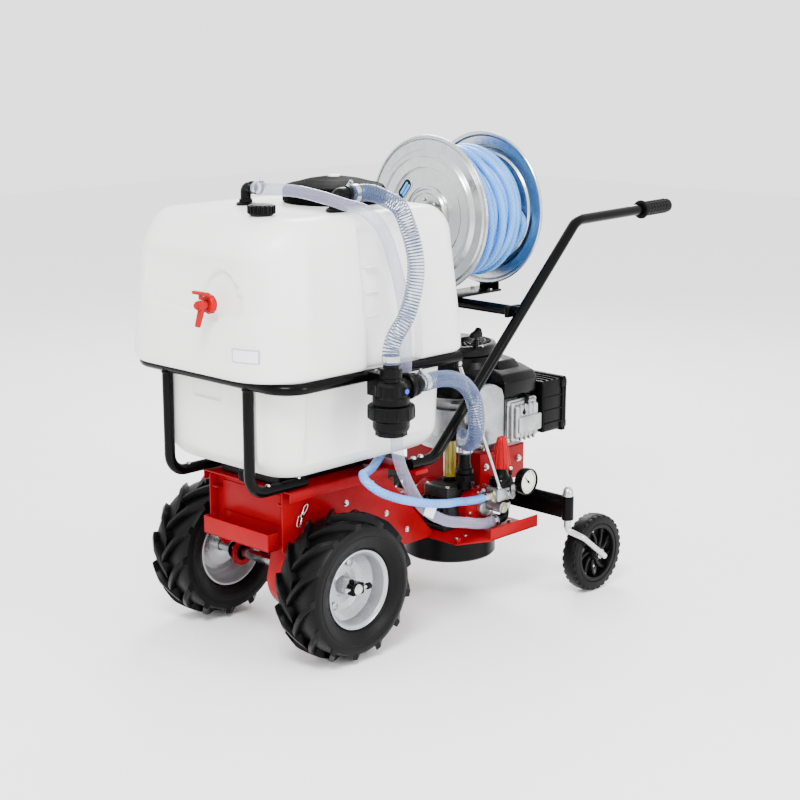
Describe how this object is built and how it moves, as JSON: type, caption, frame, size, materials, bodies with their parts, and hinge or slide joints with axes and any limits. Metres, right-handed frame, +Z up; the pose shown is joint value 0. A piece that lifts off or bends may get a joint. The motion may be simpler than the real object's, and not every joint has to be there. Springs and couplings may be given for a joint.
{
  "type": "wheeled sprayer cart",
  "caption": "Walk-behind sprayer cart with a plastic tank on a rail frame, engine-driven pump, filter, pressure regulator, hose reel, drive wheels and swivel casters.",
  "frame": {"origin": "centre of the footprint box on the ground", "axes": "+X towards the handlebar grips (the cart travels towards -X), +Y to the machine's right, +Z up"},
  "size_m": [1.4912, 0.75, 1.136],
  "materials": {
    "red_paint": "gloss",
    "black_paint": "semi-gloss",
    "black_plastic": "matte",
    "gloss_black_plastic": "gloss",
    "white_tank": "translucent satin",
    "tyre": "matte",
    "rubber": "matte",
    "rim_grey": "satin",
    "zinc": "satin",
    "galvanised": "satin",
    "cast_alloy": "satin",
    "dark_cast": "satin",
    "amber": "translucent gloss",
    "red_plastic": "gloss",
    "clear_hose": "translucent gloss",
    "spiral_hose": "translucent gloss",
    "blue_hose": "satin"
  },
  "bodies": {
    "chassis": {"side_plate_left": "red_paint", "side_plate_right": "red_paint", "deck_plate": "red_paint", "front_tray": "red_paint", "rear_pan": "red_paint", "engine_stand": "red_paint", "gear_case": "red_paint", "caster_bar": "black_paint", "tank": "white_tank", "tank_cushion": "rubber", "return_elbow": "black_plastic", "suction_elbow": "black_plastic", "tank_frame": "black_paint", "tap_body": "red_plastic", "filter_head": "black_plastic", "pump_crankcase": "dark_cast", "pump_head": "red_paint", "oil_cup": "amber", "regulator_body": "cast_alloy", "gauge_case": "gloss_black_plastic", "belt_guard": "black_plastic", "drive_belt": "rubber", "engine_block": "cast_alloy", "cylinder_head": "cast_alloy", "muffler": "cast_alloy", "air_filter_box": "black_plastic", "blower_housing": "gloss_black_plastic", "recoil_cover": "gloss_black_plastic", "handlebar": "black_paint", "grip_left": "rubber", "grip_right": "rubber", "reel_frame": "black_paint", "reel_swivel": "zinc", "suction_hose_upper": "spiral_hose", "suction_hose_lower": "spiral_hose", "return_hose": "clear_hose", "delivery_hose": "blue_hose"},
    "axle": {"axle_shaft": "zinc"},
    "wheel_left": {"tyre_left": "tyre", "rim_left": "rim_grey"},
    "wheel_right": {"tyre_right": "tyre", "rim_right": "rim_grey"},
    "fork_left": {"caster_fork_left": "zinc"},
    "fork_right": {"caster_fork_right": "zinc"},
    "roller_left": {"caster_wheel_left": "rubber"},
    "roller_right": {"caster_wheel_right": "rubber"},
    "lid": {"tank_lid": "black_plastic"},
    "vent": {"vent_cap": "black_plastic"},
    "drain": {"drain_cap": "black_plastic"},
    "tap_handle": {"tap_lever": "red_plastic"},
    "filter_cup": {"filter_bowl": "black_plastic"},
    "oil_cap": {"oil_cup_cap": "black_plastic"},
    "knob": {"pressure_knob": "red_plastic"},
    "bypass": {"bypass_lever": "zinc"},
    "needle": {"gauge_needle": "gloss_black_plastic"},
    "fuel_lid": {"fuel_cap": "black_plastic"},
    "pump_shaft": {"pump_pulley": "dark_cast"},
    "crankshaft": {"engine_pulley": "dark_cast"},
    "reel": {"reel_drum": "galvanised", "hose_winding": "blue_hose"}
  },
  "joints": [
    {"name": "axle_turn", "type": "hinge", "parent": "chassis", "child": "axle", "pos_m": [-0.44461, 0, 0.17], "axis": [0, 1, 0], "continuous": true},
    {"name": "wheel_left_freewheel", "type": "hinge", "parent": "axle", "child": "wheel_left", "pos_m": [-0.44461, -0.218, 0.17], "axis": [0, 1, 0], "continuous": true},
    {"name": "wheel_right_freewheel", "type": "hinge", "parent": "axle", "child": "wheel_right", "pos_m": [-0.44461, 0.218, 0.17], "axis": [0, 1, 0], "continuous": true},
    {"name": "caster_left_swivel", "type": "hinge", "parent": "chassis", "child": "fork_left", "pos_m": [0.21038, -0.335, 0.232], "axis": [0, 0, 1], "range_deg": [-190, 75]},
    {"name": "caster_right_swivel", "type": "hinge", "parent": "chassis", "child": "fork_right", "pos_m": [0.21038, 0.335, 0.232], "axis": [0, 0, 1], "range_deg": [-75, 190]},
    {"name": "caster_left_roll", "type": "hinge", "parent": "fork_left", "child": "roller_left", "pos_m": [0.31239, -0.335, 0.098], "axis": [0, 1, 0], "continuous": true},
    {"name": "caster_right_roll", "type": "hinge", "parent": "fork_right", "child": "roller_right", "pos_m": [0.31239, 0.335, 0.098], "axis": [0, 1, 0], "continuous": true},
    {"name": "lid_lift", "type": "slide", "parent": "chassis", "child": "lid", "axis": [0, 0, 1], "range_m": [0, 0.12]},
    {"name": "vent_cap_turn", "type": "hinge", "parent": "chassis", "child": "vent", "pos_m": [-0.56261, -0.096, 1.012], "axis": [0, 0, 1], "continuous": true},
    {"name": "drain_cap_turn", "type": "hinge", "parent": "chassis", "child": "drain", "pos_m": [-0.56361, -0.028, 0.415], "axis": [0, 0, 1], "continuous": true},
    {"name": "tap_lever_turn", "type": "hinge", "parent": "chassis", "child": "tap_handle", "pos_m": [-0.72962, -0.09, 0.852], "axis": [0, 0, 1], "range_deg": [0, 90]},
    {"name": "filter_bowl_turn", "type": "hinge", "parent": "chassis", "child": "filter_cup", "pos_m": [-0.39761, -0.321, 0.56], "axis": [0, 0, 1], "continuous": true},
    {"name": "oil_cap_turn", "type": "hinge", "parent": "chassis", "child": "oil_cap", "pos_m": [0.05239, -0.085, 0.403], "axis": [0, 0, 1], "continuous": true},
    {"name": "pressure_knob_turn", "type": "hinge", "parent": "chassis", "child": "knob", "pos_m": [0.09738, -0.215, 0.374], "axis": [0, 0, 1], "range_deg": [-540, 540]},
    {"name": "bypass_lever_turn", "type": "hinge", "parent": "chassis", "child": "bypass", "pos_m": [0.09738, -0.24, 0.276], "axis": [0, 1, 0], "range_deg": [-90, 0]},
    {"name": "gauge_needle_sweep", "type": "hinge", "parent": "chassis", "child": "needle", "pos_m": [0.17738, -0.226, 0.288], "axis": [0, 1, 0], "range_deg": [0, 270], "stiffness_Nm_per_rad": 0.0005},
    {"name": "fuel_cap_turn", "type": "hinge", "parent": "chassis", "child": "fuel_lid", "pos_m": [0.20539, 0.142, 0.598], "axis": [0, 0, 1], "continuous": true},
    {"name": "pump_shaft_spin", "type": "hinge", "parent": "chassis", "child": "pump_shaft", "pos_m": [0.05239, -0.085, 0.14], "axis": [0, 0, 1], "continuous": true},
    {"name": "crankshaft_spin", "type": "hinge", "parent": "chassis", "child": "crankshaft", "pos_m": [0.17539, 0, 0.14], "axis": [0, 0, 1], "continuous": true},
    {"name": "reel_spin", "type": "hinge", "parent": "chassis", "child": "reel", "pos_m": [0.16389, 0, 0.944], "axis": [1, 0, 0], "continuous": true}
  ],
  "couplings": [
    {"joint": "crankshaft_spin", "follows": "pump_shaft_spin", "ratio": 2.563}
  ]
}
